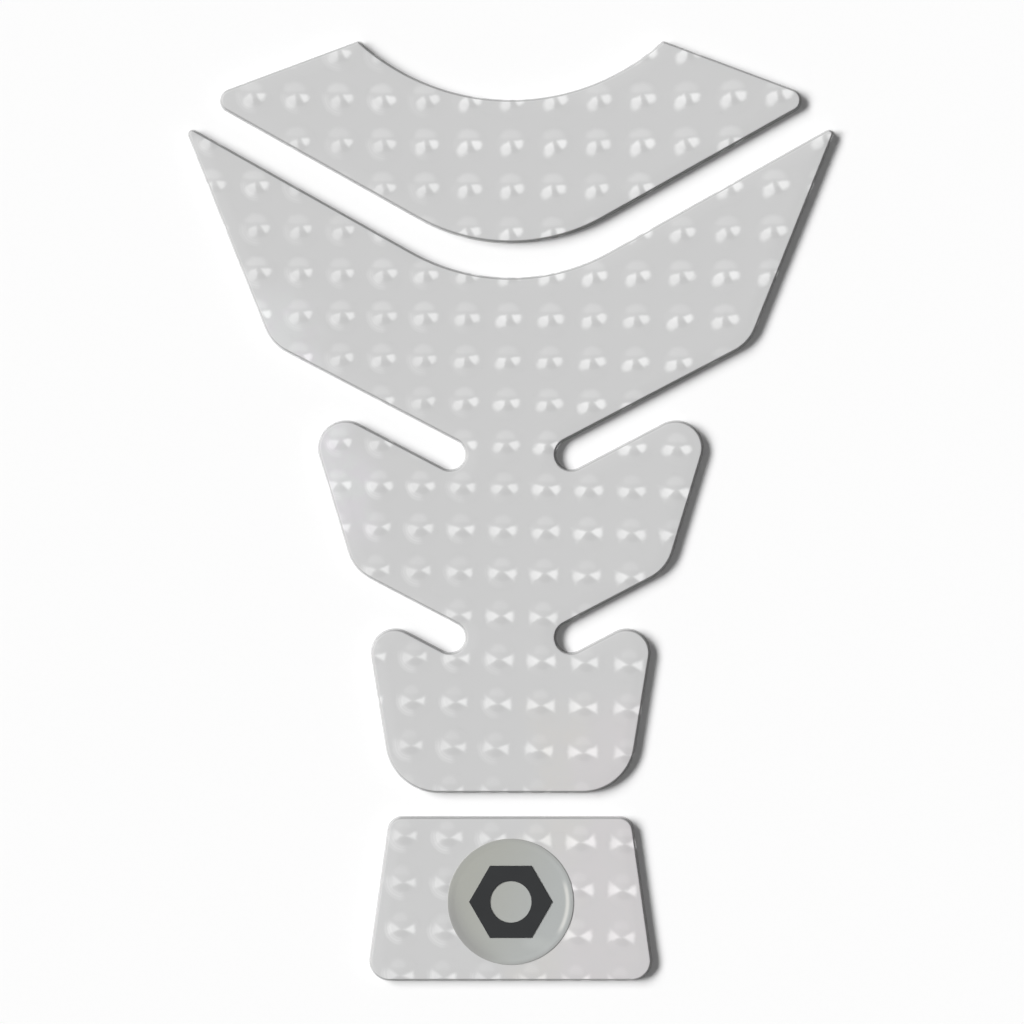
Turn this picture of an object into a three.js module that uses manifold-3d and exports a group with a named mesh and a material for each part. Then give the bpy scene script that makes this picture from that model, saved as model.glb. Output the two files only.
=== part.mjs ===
// Motorcycle tank pad: three die-cut, domed, self-adhesive pads that protect the top of a fuel tank.
// The upper pad sits round the filler cap, the main pad runs down the spine of the tank with two
// slots on each side that let it bend, and the lower pad carries a round badge.
// Millimetres. +X is to the right, +Y is towards the filler cap and +Z points away from the tank.
// The pads are mirror images of themselves across the YZ plane and lie on Z = 0.

import * as THREE from "three";
import { mergeVertices } from "three/addons/utils/BufferGeometryUtils.js";
import Module from "manifold-3d";

// Thickness and edge, the same on every pad
const PAD_THICKNESS = 2;
const EDGE_ROUND_IN = 0.5;
const EDGE_ROUND_DOWN = 0.7;
const EDGE_STEPS = 3;
// The largest share of a corner's radius that the rounding of the edge may take
const EDGE_SHARE_OF_CORNER = 0.8;

// Channel between the upper and the main pad, and seam between the main and the lower pad
const CHANNEL_ANGLE = 29.3;
const CHANNEL_WIDTH = 7;
const SEAM_WIDTH = 5.1;

// Main pad: heights are measured from the middle of the upper slots' round ends
const WING_HALF_SPAN = 72.8;
const WING_SIDE_ANGLE = 68.2;
const WING_TIP_RADIUS = 1.1;
const WING_DIP_HEIGHT = 39.3;
const WING_DIP_RADIUS = 45;
const SPINE_WIDTH = 20.3;
const SLOT_ANGLE = 27.6;
const SLOT_WIDTH = 6.6;
const SLOT_SPACING = 40.6;
const ARM_CORNER_RADIUS = 10;
const MIDDLE_ARM_HALF_WIDTH = 42.7;
const MIDDLE_ARM_SIDE_ANGLE = 73.2;
const MIDDLE_ARM_LOBE_RADIUS = 6.2;
const BASE_HALF_WIDTH = 31.7;
const BASE_SIDE_ANGLE = 80.9;
const BASE_LOBE_RADIUS = 5.4;
const BASE_DEPTH = 75.2;
const BASE_CORNER_RADIUS = 12;

// Upper pad
const UPPER_HALF_SPAN = 68.3;
const UPPER_TOP_ANGLE = 20.4;
const UPPER_TIP_RADIUS = 2.7;
const UPPER_BELLY_RADIUS = 42;
const UPPER_WAIST = 31.9;
const SADDLE_RADIUS = 50;
const SADDLE_FLANK_ANGLE = 42;
const EAR_RADIUS = 0.7;

// Lower pad
const LOWER_HEIGHT = 36.6;
const LOWER_TOP_HALF_WIDTH = 27;
const LOWER_SIDE_ANGLE = 82;
const LOWER_TOP_RADIUS = 3.4;
const LOWER_BOTTOM_RADIUS = 4.6;

// Round badge on the lower pad: a thin disc with a raised lip round a sunk face.
// The emblem on its face is the outline of a hexagon nut.
const BADGE_RADIUS = 14;
const BADGE_RISE = 17.7;
const BADGE_WALL_HEIGHT = 0.14;
const BADGE_LIP_HEIGHT = 0.26;
const BADGE_LIP_OUTER_WIDTH = 0.3;
const BADGE_LIP_TOP_WIDTH = 0.25;
const BADGE_LIP_INNER_WIDTH = 0.75;
const BADGE_FACE_HEIGHT = 0.1;
const BADGE_SIDES = 48;
const EMBLEM_ACROSS_FLATS = 16;
const EMBLEM_HOLE_RADIUS = 4.6;
const EMBLEM_HEIGHT = 0.2;

// Engine-turned film: round spots in rows and columns, each a very low cone
const SPOT_RADIUS = 3.7;
const SPOT_HEIGHT = 0.3;
const SPOT_SINK = 0.07;
const SPOT_SIDES = 12;
const SPOT_EDGE_MARGIN = 0.15;
const BADGE_SPOT_MARGIN = 0.3;

// How the film lies on the pads: one spot's place, the pitch, and how rows and columns lean.
// rowTurn is the change of the rows' slope for each millimetre upwards.
const MAIN_FILM = {
  spotX: -1.04,
  spotY: 1.97,
  pitchX: 9.45,
  pitchY: 9.54,
  columnLean: 0.0254,
  rowSlope: -0.0204,
  rowTurn: 0.0003,
};
const LOWER_FILM = {
  spotX: -4.27,
  spotY: 2.8,
  pitchX: 9.76,
  pitchY: 10.35,
  columnLean: 0.0336,
  rowSlope: -0.0384,
  rowTurn: 0,
};

// How finely curves are cut: the greatest distance between a chord and its arc, the fewest chords
// in an arc, and the gap up to which two points of an outline or of a solid count as one
const CHORD_ERROR = 0.03;
const FEWEST_CHORDS = 3;
const OUTLINE_POINT_GAP = 0.003;
const SOLID_POINT_GAP = 0.0001;

// How often a spot's place is worked out again from its own height
const PLACE_ROUNDS = 4;

const FILM_FINISH = { color: 0xcccccc, roughness: 0.34, metalness: 0.25 };
const BADGE_FINISH = { color: 0xadb0ab, roughness: 0.22, metalness: 0.3 };
const EMBLEM_FINISH = { color: 0x3c3d40, roughness: 0.35, metalness: 0.1 };

const wasm = await Module();
wasm.setup();

const radians = THREE.MathUtils.degToRad;

// A straight edge through a point, at an angle to +X in degrees.
function edge(x, y, angle) {
  const turn = radians(angle);
  return { x, y, dx: Math.cos(turn), dy: Math.sin(turn) };
}

// The point where two straight edges meet.
function meet(a, b) {
  const cross = a.dx * b.dy - a.dy * b.dx;
  const along = ((b.x - a.x) * b.dy - (b.y - a.y) * b.dx) / cross;
  return new THREE.Vector2(a.x + along * a.dx, a.y + along * a.dy);
}

// A corner of an outline, with the radius that rounds it.
function corner(point, radius) {
  return { x: point.x, y: point.y, radius };
}

// Adds the left half of an outline to its right half, which runs clockwise from the top.
// Corners on the middle line are not repeated.
function mirrored(rightHalf) {
  const leftHalf = rightHalf
    .filter((c) => c.x !== 0)
    .map((c) => ({ ...c, x: -c.x }))
    .reverse();
  const middleFirst = rightHalf[0].x === 0;
  const middleLast = rightHalf[rightHalf.length - 1].x === 0;
  if (middleFirst || !middleLast) return [...rightHalf, ...leftHalf];
  return [...leftHalf, ...rightHalf];
}

// How far a rounded corner reaches along its two sides.
function cornerReach(before, at, after) {
  const toBefore = new THREE.Vector2(before.x - at.x, before.y - at.y).normalize();
  const toAfter = new THREE.Vector2(after.x - at.x, after.y - at.y).normalize();
  const half = Math.acos(THREE.MathUtils.clamp(toBefore.dot(toAfter), -1, 1)) / 2;
  return { toBefore, toAfter, half, reach: at.radius / Math.tan(half) };
}

// The points of an outline whose corners are rounded by arcs. Two roundings that share a side
// and are too long for it shrink until they meet.
function roundedOutline(corners) {
  const count = corners.length;
  const rounds = corners.map((at, i) =>
    cornerReach(corners[(i + count - 1) % count], at, corners[(i + 1) % count]),
  );
  const shareOfSide = (i, j) => {
    const length = Math.hypot(corners[i].x - corners[j].x, corners[i].y - corners[j].y);
    return length / (rounds[i].reach + rounds[j].reach);
  };
  return corners.flatMap((at, i) => {
    const { toBefore, toAfter, half, reach } = rounds[i];
    const shareBefore = shareOfSide(i, (i + count - 1) % count);
    const shareAfter = shareOfSide(i, (i + 1) % count);
    const share = Math.min(1, shareBefore, shareAfter);
    const radius = at.radius * share;
    const towardsCentre = toBefore.clone().add(toAfter).normalize();
    const centre = towardsCentre.multiplyScalar(radius / Math.sin(half)).add(at);
    const start = toBefore.clone().multiplyScalar(reach * share).add(at).sub(centre);
    const turn = Math.sign(toBefore.cross(toAfter)) * (Math.PI - 2 * half);
    const chordTurn = 2 * Math.acos(1 - CHORD_ERROR / at.radius);
    const steps = Math.max(FEWEST_CHORDS, Math.ceil(Math.abs(turn) / chordTurn));
    const points = [];
    for (let step = 0; step <= steps; step += 1) {
      const spoke = start.clone().rotateAround(new THREE.Vector2(), (-turn * step) / steps);
      points.push(spoke.add(centre));
    }
    return points;
  });
}

// Drops points that repeat the one before, as where two arcs of a round slot end meet.
function withoutRepeats(points) {
  return points.filter((p, i) => p.distanceTo(points[(i + 1) % points.length]) > OUTLINE_POINT_GAP);
}

// Turns a closed three.js geometry into a solid that can be cut and joined.
function solidOf(geometry) {
  const bare = geometry.clone();
  bare.deleteAttribute("normal");
  bare.deleteAttribute("uv");
  const merged = mergeVertices(bare, SOLID_POINT_GAP);
  const mesh = new wasm.Mesh({
    numProp: 3,
    vertProperties: new Float32Array(merged.attributes.position.array),
    triVerts: new Uint32Array(merged.index.array),
  });
  return new wasm.Manifold(mesh);
}

// Turns a solid back into a geometry with flat-shaded faces.
function geometryOf(solid) {
  const mesh = solid.getMesh();
  const geometry = new THREE.BufferGeometry();
  geometry.setAttribute("position", new THREE.BufferAttribute(mesh.vertProperties, 3));
  geometry.setIndex(new THREE.BufferAttribute(mesh.triVerts, 1));
  const flat = geometry.toNonIndexed();
  flat.computeVertexNormals();
  return flat;
}

// A slab with an upright wall and a rounded upper edge, standing on Z = 0.
function domedSlab(outline, roundIn) {
  const slab = new THREE.ExtrudeGeometry(new THREE.Shape(outline), {
    depth: PAD_THICKNESS,
    bevelThickness: EDGE_ROUND_DOWN,
    bevelSize: roundIn,
    bevelOffset: -roundIn,
    bevelSegments: EDGE_STEPS,
  });
  slab.translate(0, 0, -EDGE_ROUND_DOWN);
  const box = new THREE.Box3().setFromPoints(outline.map((p) => new THREE.Vector3(p.x, p.y, 0)));
  const size = box.getSize(new THREE.Vector3());
  const middle = box.getCenter(new THREE.Vector3());
  const below = new THREE.BoxGeometry(2 * size.x, 2 * size.y, 2 * PAD_THICKNESS);
  below.translate(middle.x, middle.y, -PAD_THICKNESS);
  return solidOf(slab).subtract(solidOf(below));
}

// An upright prism over the outline, drawn in by a distance, between two heights.
function prismInside(outline, inset, low, high) {
  const height = high - low;
  const prism = new THREE.ExtrudeGeometry(new THREE.Shape(outline), {
    depth: height / 2,
    bevelThickness: height / 4,
    bevelSize: 0,
    bevelOffset: -inset,
    bevelSegments: 1,
  });
  prism.translate(0, 0, low + height / 4);
  return solidOf(prism);
}

// The middle of the spot in a given column and row of the film. Its height and its row's slope
// depend on each other, so the place is worked out in a few rounds.
function spotPlace(film, column, row) {
  const place = new THREE.Vector2(0, film.spotY + row * film.pitchY);
  for (let round = 0; round < PLACE_ROUNDS; round += 1) {
    const slope = film.rowSlope + film.rowTurn * place.y;
    place.x = film.spotX + column * film.pitchX + film.columnLean * place.y;
    place.y = film.spotY + row * film.pitchY + slope * place.x;
  }
  return place;
}

// All the spots of a film that touch the box round an outline, as a list of places.
function spotsOver(film, outline) {
  const box = new THREE.Box2().setFromPoints(outline).expandByScalar(SPOT_RADIUS);
  const reach = Math.max(...[box.min, box.max].map((p) => p.length()));
  const most = Math.ceil(reach / Math.min(film.pitchX, film.pitchY)) + 1;
  const places = [];
  for (let row = -most; row <= most; row += 1) {
    for (let column = -most; column <= most; column += 1) {
      const place = spotPlace(film, column, row);
      if (box.containsPoint(place)) places.push(place);
    }
  }
  return places;
}

// One spot: a very low cone whose lower part is sunk in the pad.
function spotSolid(place) {
  const height = SPOT_HEIGHT + SPOT_SINK;
  const footRadius = (SPOT_RADIUS * height) / SPOT_HEIGHT;
  const cone = new THREE.ConeGeometry(footRadius, height, SPOT_SIDES);
  cone.rotateX(Math.PI / 2);
  cone.translate(place.x, place.y, PAD_THICKNESS - SPOT_SINK + height / 2);
  return solidOf(cone);
}

// A pad: the domed slab, with the film's spots standing on its face. A bare patch, where there is
// one, is a solid that no spot reaches into.
function padMesh(name, corners, film, barePatch) {
  const outline = withoutRepeats(roundedOutline(corners));
  const sharpest = Math.min(...corners.map((c) => c.radius));
  const roundIn = Math.min(EDGE_ROUND_IN, EDGE_SHARE_OF_CORNER * sharpest);
  const low = PAD_THICKNESS - SPOT_SINK;
  const high = PAD_THICKNESS + 2 * SPOT_HEIGHT;
  const spots = spotsOver(film, outline).map(spotSolid);
  let relief = spots
    .reduce((joined, spot) => joined.add(spot))
    .intersect(prismInside(outline, roundIn + SPOT_EDGE_MARGIN, low, high));
  if (barePatch) relief = relief.subtract(barePatch);
  const solid = domedSlab(outline, roundIn).add(relief);
  const mesh = new THREE.Mesh(geometryOf(solid), new THREE.MeshStandardMaterial(FILM_FINISH));
  mesh.name = name;
  return mesh;
}

// The two edges of a slot and its round end, from the right side of the pad inwards and back out.
function slotEdges(endHeight) {
  const endX = (SPINE_WIDTH + SLOT_WIDTH) / 2;
  const turn = radians(SLOT_ANGLE);
  const across = new THREE.Vector2(-Math.sin(turn), Math.cos(turn)).multiplyScalar(SLOT_WIDTH / 2);
  const inward = new THREE.Vector2(-Math.cos(turn), -Math.sin(turn)).multiplyScalar(SLOT_WIDTH / 2);
  const end = new THREE.Vector2(endX, endHeight).add(inward);
  const upper = end.clone().add(across);
  const lower = end.clone().sub(across);
  return {
    upper: edge(upper.x, upper.y, SLOT_ANGLE),
    lower: edge(lower.x, lower.y, SLOT_ANGLE),
    end: [corner(upper, SLOT_WIDTH / 2), corner(lower, SLOT_WIDTH / 2)],
  };
}

// Where the main pad's two upper edges would meet if the dip between the wings weren't rounded.
function dipPoint() {
  const rounding = WING_DIP_RADIUS * (1 / Math.cos(radians(CHANNEL_ANGLE)) - 1);
  return new THREE.Vector2(0, WING_DIP_HEIGHT - rounding);
}

function mainPadCorners() {
  const dip = dipPoint();
  const wingTop = edge(dip.x, dip.y, CHANNEL_ANGLE);
  const wingTip = meet(wingTop, edge(WING_HALF_SPAN, 0, 90));
  const wingSide = edge(wingTip.x, wingTip.y, WING_SIDE_ANGLE);
  const upperSlot = slotEdges(0);
  const middleSide = edge(MIDDLE_ARM_HALF_WIDTH, 0, MIDDLE_ARM_SIDE_ANGLE);
  const lowerSlot = slotEdges(-SLOT_SPACING);
  const baseSide = edge(BASE_HALF_WIDTH, -SLOT_SPACING, BASE_SIDE_ANGLE);
  const base = edge(0, -BASE_DEPTH, 0);
  return mirrored([
    corner(dip, WING_DIP_RADIUS),
    corner(wingTip, WING_TIP_RADIUS),
    corner(meet(wingSide, upperSlot.upper), ARM_CORNER_RADIUS),
    ...upperSlot.end,
    corner(meet(upperSlot.lower, middleSide), MIDDLE_ARM_LOBE_RADIUS),
    corner(meet(middleSide, lowerSlot.upper), ARM_CORNER_RADIUS),
    ...lowerSlot.end,
    corner(meet(lowerSlot.lower, baseSide), BASE_LOBE_RADIUS),
    corner(meet(baseSide, base), BASE_CORNER_RADIUS),
  ]);
}

function upperPadCorners() {
  const channel = CHANNEL_WIDTH / Math.cos(radians(CHANNEL_ANGLE));
  const bellyPoint = dipPoint().add(new THREE.Vector2(0, channel));
  const belly = edge(bellyPoint.x, bellyPoint.y, CHANNEL_ANGLE);
  const bellyRounding = UPPER_BELLY_RADIUS * (1 / Math.cos(radians(CHANNEL_ANGLE)) - 1);
  const saddleRounding = SADDLE_RADIUS * (1 / Math.cos(radians(SADDLE_FLANK_ANGLE)) - 1);
  const saddleHeight = bellyPoint.y + bellyRounding + UPPER_WAIST - saddleRounding;
  const saddlePoint = new THREE.Vector2(0, saddleHeight);
  const flank = edge(saddlePoint.x, saddlePoint.y, SADDLE_FLANK_ANGLE);
  const tip = meet(belly, edge(UPPER_HALF_SPAN, 0, 90));
  const top = edge(tip.x, tip.y, 180 - UPPER_TOP_ANGLE);
  return mirrored([
    corner(saddlePoint, SADDLE_RADIUS),
    corner(meet(flank, top), EAR_RADIUS),
    corner(tip, UPPER_TIP_RADIUS),
    corner(bellyPoint, UPPER_BELLY_RADIUS),
  ]);
}

// The lower pad's heights are measured from the middle of its own height.
function lowerPadCorners() {
  const side = edge(LOWER_TOP_HALF_WIDTH, LOWER_HEIGHT / 2, 180 - LOWER_SIDE_ANGLE);
  return mirrored([
    corner(meet(side, edge(0, LOWER_HEIGHT / 2, 0)), LOWER_TOP_RADIUS),
    corner(meet(side, edge(0, -LOWER_HEIGHT / 2, 0)), LOWER_BOTTOM_RADIUS),
  ]);
}

// The badge: a thin disc. Its lip rises from the wall, is flat on top and falls to the face.
function badgeMesh() {
  const lipOuter = BADGE_RADIUS - BADGE_LIP_OUTER_WIDTH;
  const lipInner = lipOuter - BADGE_LIP_TOP_WIDTH;
  const profile = [
    new THREE.Vector2(0, 0),
    new THREE.Vector2(BADGE_RADIUS, 0),
    new THREE.Vector2(BADGE_RADIUS, BADGE_WALL_HEIGHT),
    new THREE.Vector2(lipOuter, BADGE_LIP_HEIGHT),
    new THREE.Vector2(lipInner, BADGE_LIP_HEIGHT),
    new THREE.Vector2(lipInner - BADGE_LIP_INNER_WIDTH, BADGE_FACE_HEIGHT),
    new THREE.Vector2(0, BADGE_FACE_HEIGHT),
  ];
  const geometry = new THREE.LatheGeometry(profile, BADGE_SIDES);
  geometry.rotateX(Math.PI / 2);
  const mesh = new THREE.Mesh(geometry, new THREE.MeshStandardMaterial(BADGE_FINISH));
  mesh.name = "badge";
  return mesh;
}

// The emblem: a flat hexagon with a round hole.
function emblemMesh() {
  const acrossCorners = EMBLEM_ACROSS_FLATS / Math.cos(radians(30));
  const hexagon = new THREE.Shape();
  for (let side = 0; side < 6; side += 1) {
    const spoke = radians(60 * side);
    const x = (acrossCorners / 2) * Math.cos(spoke);
    const y = (acrossCorners / 2) * Math.sin(spoke);
    if (side === 0) hexagon.moveTo(x, y);
    else hexagon.lineTo(x, y);
  }
  hexagon.closePath();
  hexagon.holes.push(new THREE.Path().absarc(0, 0, EMBLEM_HOLE_RADIUS, 0, 2 * Math.PI, true));
  const geometry = new THREE.ExtrudeGeometry(hexagon, {
    depth: EMBLEM_HEIGHT,
    bevelEnabled: false,
    curveSegments: BADGE_SIDES / 3,
  });
  const mesh = new THREE.Mesh(geometry, new THREE.MeshStandardMaterial(EMBLEM_FINISH));
  mesh.name = "badge_emblem";
  return mesh;
}

// The lower pad with its badge, placed below the main pad.
function lowerPadGroup() {
  const badgeHeight = BADGE_RISE - LOWER_HEIGHT / 2;
  const patch = new THREE.CylinderGeometry(
    BADGE_RADIUS + BADGE_SPOT_MARGIN,
    BADGE_RADIUS + BADGE_SPOT_MARGIN,
    2 * PAD_THICKNESS,
    BADGE_SIDES,
  );
  patch.rotateX(Math.PI / 2);
  patch.translate(0, badgeHeight, PAD_THICKNESS);
  const badge = badgeMesh();
  badge.position.set(0, badgeHeight, PAD_THICKNESS);
  const emblem = emblemMesh();
  emblem.position.set(0, badgeHeight, PAD_THICKNESS + BADGE_FACE_HEIGHT);
  const group = new THREE.Group();
  group.add(padMesh("lower_pad", lowerPadCorners(), LOWER_FILM, solidOf(patch)), badge, emblem);
  group.position.y = -BASE_DEPTH - SEAM_WIDTH - LOWER_HEIGHT / 2;
  return group;
}

// The whole set, moved so that its middle stands on the origin.
function tankPad() {
  const set = new THREE.Group();
  set.add(
    padMesh("upper_pad", upperPadCorners(), MAIN_FILM),
    padMesh("main_pad", mainPadCorners(), MAIN_FILM),
    lowerPadGroup(),
  );
  set.updateMatrixWorld(true);
  const middle = new THREE.Box3().setFromObject(set).getCenter(new THREE.Vector3());
  set.position.y = -middle.y;
  return set;
}

const group = tankPad();

export default group;
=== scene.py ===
"""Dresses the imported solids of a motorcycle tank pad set.

Three domed resin pads over an engine-turned film, a round badge with an emblem, and the white
table they lie on. Sizes are millimetres; a mesh is made in metres, in the frame of the solids.
"""

import sys
import logging
import math
from abc import ABC, abstractmethod
from dataclasses import dataclass, field
from enum import Enum

import bmesh
import bpy
import numpy as np
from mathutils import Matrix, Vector
from mathutils.geometry import delaunay_2d_cdt


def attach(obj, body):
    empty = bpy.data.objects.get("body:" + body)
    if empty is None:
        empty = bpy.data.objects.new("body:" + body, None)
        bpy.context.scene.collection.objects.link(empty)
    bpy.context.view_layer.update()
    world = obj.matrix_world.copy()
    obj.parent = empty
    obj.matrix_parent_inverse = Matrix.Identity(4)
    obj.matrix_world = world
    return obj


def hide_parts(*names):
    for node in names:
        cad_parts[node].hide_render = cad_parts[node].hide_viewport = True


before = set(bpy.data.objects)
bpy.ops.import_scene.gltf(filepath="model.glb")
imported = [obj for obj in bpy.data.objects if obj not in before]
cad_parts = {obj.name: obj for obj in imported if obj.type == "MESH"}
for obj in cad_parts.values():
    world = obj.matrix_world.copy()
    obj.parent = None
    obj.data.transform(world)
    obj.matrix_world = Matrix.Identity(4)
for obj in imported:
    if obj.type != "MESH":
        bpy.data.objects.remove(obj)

MM = 0.001
WELD = 0.003
SLIVER = 0.001
FILL_GRAIN = 0.002
SHARP_ANGLE = 38
THICKNESS = 2.0
MAIN_PAD_Y = 12.552
LOWER_PAD_Y = -86.048
BADGE_Y = -86.648
LOG = logging.getLogger("tank_pad")

Pair = tuple[float, float]
Colour = tuple[float, float, float, float]


class Slot(Enum):
    """The record's material slots of the pieces."""

    FILM = "pad_film"
    BADGE = "badge_face"
    EMBLEM = "emblem_print"


class Face(Enum):
    """The material slots of a pad's mesh."""

    FILM = 0
    ADHESIVE = 1


def heading(degrees: float) -> Pair:
    """Gives the cosine and the sine of an angle."""
    return math.cos(math.radians(degrees)), math.sin(math.radians(degrees))


@dataclass(frozen=True)
class Side:
    """A straight side through a point, at an angle to +X in degrees."""

    x: float
    y: float
    angle: float

    def meet(self, other: "Side") -> Pair:
        """Finds where this side crosses another.

        Args:
            other: the other side.

        Returns:
            The crossing point.
        """
        (ax, ay), (bx, by) = heading(self.angle), heading(other.angle)
        along = ((other.x - self.x) * by - (other.y - self.y) * bx) / (ax * by - ay * bx)
        return self.x + along * ax, self.y + along * ay


@dataclass(frozen=True)
class Corner:
    """A corner of an outline, and the radius that rounds it."""

    x: float
    y: float
    radius: float


def mirrored(right_half: list[Corner]) -> list[Corner]:
    """Adds the left half of an outline to its right half.

    Args:
        right_half: corners of the right half, clockwise from the top.

    Returns:
        The corners of the whole outline. Those on the middle line aren't repeated.
    """
    left_half = [Corner(-c.x, c.y, c.radius) for c in reversed(right_half) if c.x != 0]
    middle_first, middle_last = right_half[0].x == 0, right_half[-1].x == 0
    if middle_first or not middle_last:
        return right_half + left_half
    return left_half + right_half


class Outline:
    """A closed outline of straight sides joined by arcs, which can be drawn in by any distance.

    All its rings have the same number of points in the same order, so that faces can join them.
    """

    CHORD_ERROR = 0.006
    SIDE_STEP = 1.4
    SHARPEST = 0.01
    FEWEST_ARC_STEPS = 4
    NO_LENGTH = 1e-6
    BATCH = 3000

    def __init__(self, corners: list[Corner]) -> None:
        """Works out the arcs. Two that share a side and are too long for it shrink.

        Args:
            corners: the corners, in order round the outline.
        """
        self.points = np.array([(c.x, c.y) for c in corners])
        radii = np.array([c.radius for c in corners])
        to_next = np.roll(self.points, -1, axis=0) - self.points
        lengths = np.linalg.norm(to_next, axis=1)
        self.along = to_next / lengths[:, None]
        self.to_before = -np.roll(self.along, 1, axis=0)
        x, y = self.points[:, 0], self.points[:, 1]
        area = np.sum(x * np.roll(y, -1) - np.roll(x, -1) * y)
        self.inwards = np.sign(area) * np.stack([-self.along[:, 1], self.along[:, 0]], axis=1)
        cosine = np.sum(self.to_before * self.along, axis=1)
        self.half = np.arccos(np.clip(cosine, -1, 1)) / 2
        cross = self.to_before[:, 0] * self.along[:, 1] - self.to_before[:, 1] * self.along[:, 0]
        self.turn = -np.sign(cross) * (math.pi - 2 * self.half)
        self.convex = -np.sign(cross) * np.sign(area) > 0
        reach = radii / np.tan(self.half)
        share_after = lengths / (reach + np.roll(reach, -1))
        share = np.minimum(1, np.minimum(share_after, np.roll(share_after, 1)))
        self.radii = radii * share
        chord_turn = 2 * np.arccos(1 - self.CHORD_ERROR / self.radii)
        arc_steps = np.ceil(np.abs(self.turn) / chord_turn)
        self.arc_steps = np.maximum(self.FEWEST_ARC_STEPS, arc_steps).astype(int)
        reach = reach * share
        straight = lengths - reach - np.roll(reach, -1)
        self.side_steps = np.maximum(1, np.ceil(straight / self.SIDE_STEP)).astype(int)

    def ring(self, inset: float) -> np.ndarray:
        """Draws the outline in.

        Args:
            inset: the distance from the outline, inwards.

        Returns:
            The ring's points.
        """
        before = np.roll(self.inwards, 1, axis=0)
        mitre = (before + self.inwards) / (1 + np.sum(before * self.inwards, axis=1))[:, None]
        corners = self.points + inset * mitre
        grown = self.radii + inset
        shrunk = np.maximum(self.radii - inset, self.SHARPEST)
        radii = np.where(self.convex, shrunk, grown)
        middle = self.to_before + self.along
        middle /= np.linalg.norm(middle, axis=1)[:, None]
        centres = corners + middle * (radii / np.sin(self.half))[:, None]
        starts = corners + self.to_before * (radii / np.tan(self.half))[:, None] - centres
        arcs = []
        for i, steps in enumerate(self.arc_steps):
            turned = self.turn[i] * np.arange(steps + 1) / steps
            cos, sin = np.cos(turned), np.sin(turned)
            spoke_x = starts[i, 0] * cos - starts[i, 1] * sin
            spoke_y = starts[i, 0] * sin + starts[i, 1] * cos
            arcs.append(np.stack([spoke_x, spoke_y], axis=1) + centres[i])
        parts = []
        for i, arc in enumerate(arcs):
            parts.append(arc)
            share = np.arange(1, self.side_steps[i])[:, None] / self.side_steps[i]
            parts.append(arc[-1] + (arcs[(i + 1) % len(arcs)][0] - arc[-1]) * share)
        return np.concatenate(parts)

    def depth(self, points: np.ndarray) -> np.ndarray:
        """Measures how far inside the outline points lie.

        Args:
            points: the points, one in each row.

        Returns:
            The distance of each to the outline, negative outside it.
        """
        start = self.ring(0)
        end = np.roll(start, -1, axis=0)
        step = end - start
        keep = np.linalg.norm(step, axis=1) > self.NO_LENGTH
        start, end, step = start[keep], end[keep], step[keep]
        square = np.sum(step**2, axis=1)
        found = []
        for part in np.array_split(points, max(1, len(points) // self.BATCH)):
            away = part[:, None, :] - start[None]
            share = np.clip(np.sum(away * step[None], axis=2) / square[None], 0, 1)
            distance = np.linalg.norm(away - share[:, :, None] * step[None], axis=2).min(axis=1)
            y = part[:, 1][:, None]
            crosses = (start[None, :, 1] > y) != (end[None, :, 1] > y)
            rise = np.where(step[:, 1] == 0, 1.0, step[:, 1])[None]
            at_x = start[None, :, 0] + (y - start[None, :, 1]) / rise * step[None, :, 0]
            inside = np.sum(crosses & (part[:, 0][:, None] < at_x), axis=1) % 2 == 1
            found.append(np.where(inside, distance, -distance))
        return np.concatenate(found)


def products(x: "np.ndarray | Wire", y: "np.ndarray | Wire") -> list:
    """Lists the products of x and y that the terms of a lay belong to."""
    return [x, y, x * x, x * y, y * y, x * x * x, x * x * y, x * y * y, y * y * y]


@dataclass(frozen=True)
class FilmLay:
    """How the film's spots lie on a pad.

    A spot stands wherever both the column and the row are whole numbers. Both are sums of
    products of x and y, in units of 50 mm from the origin at (0, origin_y) of the frame.
    Each pair of numbers is for the column and for the row.
    """

    origin_y: float
    start: Pair
    terms: tuple[Pair, ...]
    pitch: float = 9.5
    unit: float = 50

    def from_spot(self, x: np.ndarray, y: np.ndarray) -> np.ndarray:
        """Measures how far points are from the middle of the nearest spot.

        Args:
            x: their x in the frame.
            y: their y in the frame.

        Returns:
            The distances.
        """
        values = products(x / self.unit, (y - self.origin_y) / self.unit)
        away = []
        for k in range(2):
            shifts = [term[k] * value for term, value in zip(self.terms, values)]
            place = self.start[k] + sum(shifts)
            away.append((place - np.round(place)) * self.pitch)
        return np.hypot(*away)


MAIN_LAY = FilmLay(
    origin_y=MAIN_PAD_Y,
    start=(0.116, -0.214),
    terms=(
        (5.393, 0.111), (-0.139, 5.327),
        (-0.125, 0.008), (0.033, -0.080), (0.027, 0.024),
        (-0.069, -0.011), (0.035, -0.053), (-0.078, 0.003), (0.002, -0.052),
    ),
)
LOWER_LAY = FilmLay(LOWER_PAD_Y, (0.447, -0.286), ((5.122, 0.186), (-0.172, 4.831)))


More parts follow.
